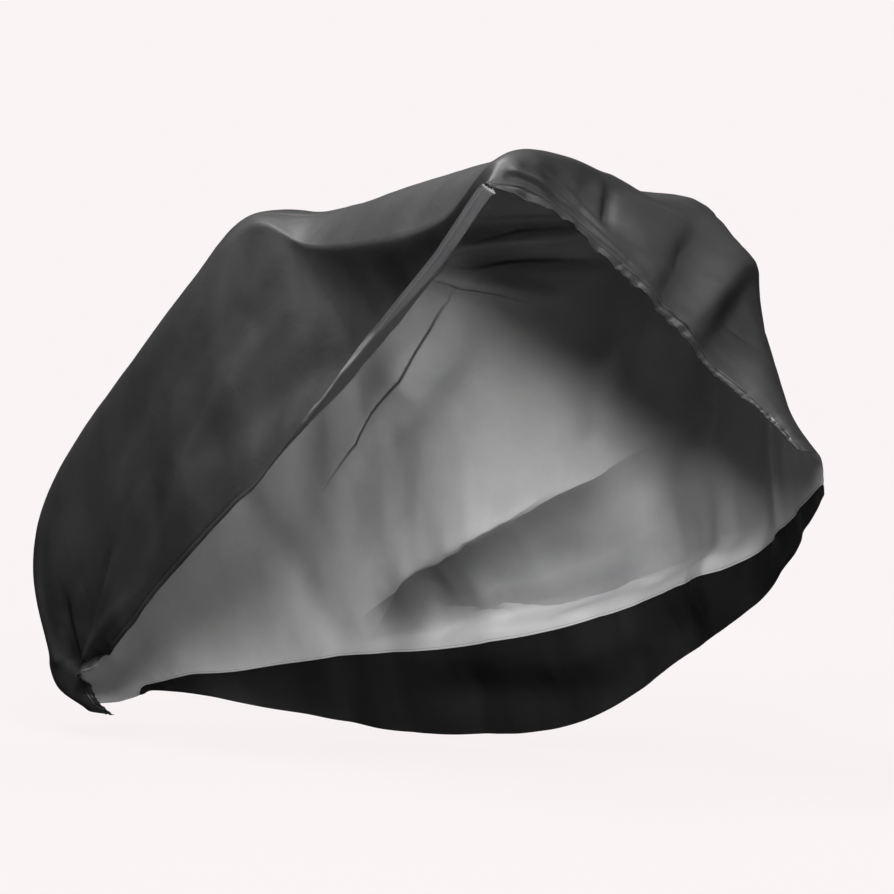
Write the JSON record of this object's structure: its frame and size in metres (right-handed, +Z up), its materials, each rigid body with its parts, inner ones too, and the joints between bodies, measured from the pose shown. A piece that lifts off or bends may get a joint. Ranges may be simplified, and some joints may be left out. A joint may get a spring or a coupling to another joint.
{
  "type": "bicycle cover",
  "caption": "Hollow fitted cover of thin coated cloth that hangs over a bicycle, with one side lifted on a slanting, gathered hem and a plain skirt on the other.",
  "frame": {"origin": "on the ground below the middle of the cover's length and width", "axes": "+X towards the front wheel, +Y towards the side that hangs to the ground, +Z up"},
  "size_m": [1.6964, 0.7192, 1.0339],
  "materials": {
    "coated_cloth": "satin black outside, silver coating inside",
    "skirt_cloth": "matt black on both faces"
  },
  "bodies": {
    "root": {"near_panel": "coated_cloth", "far_panel": "coated_cloth", "far_skirt": "skirt_cloth"}
  },
  "joints": []
}
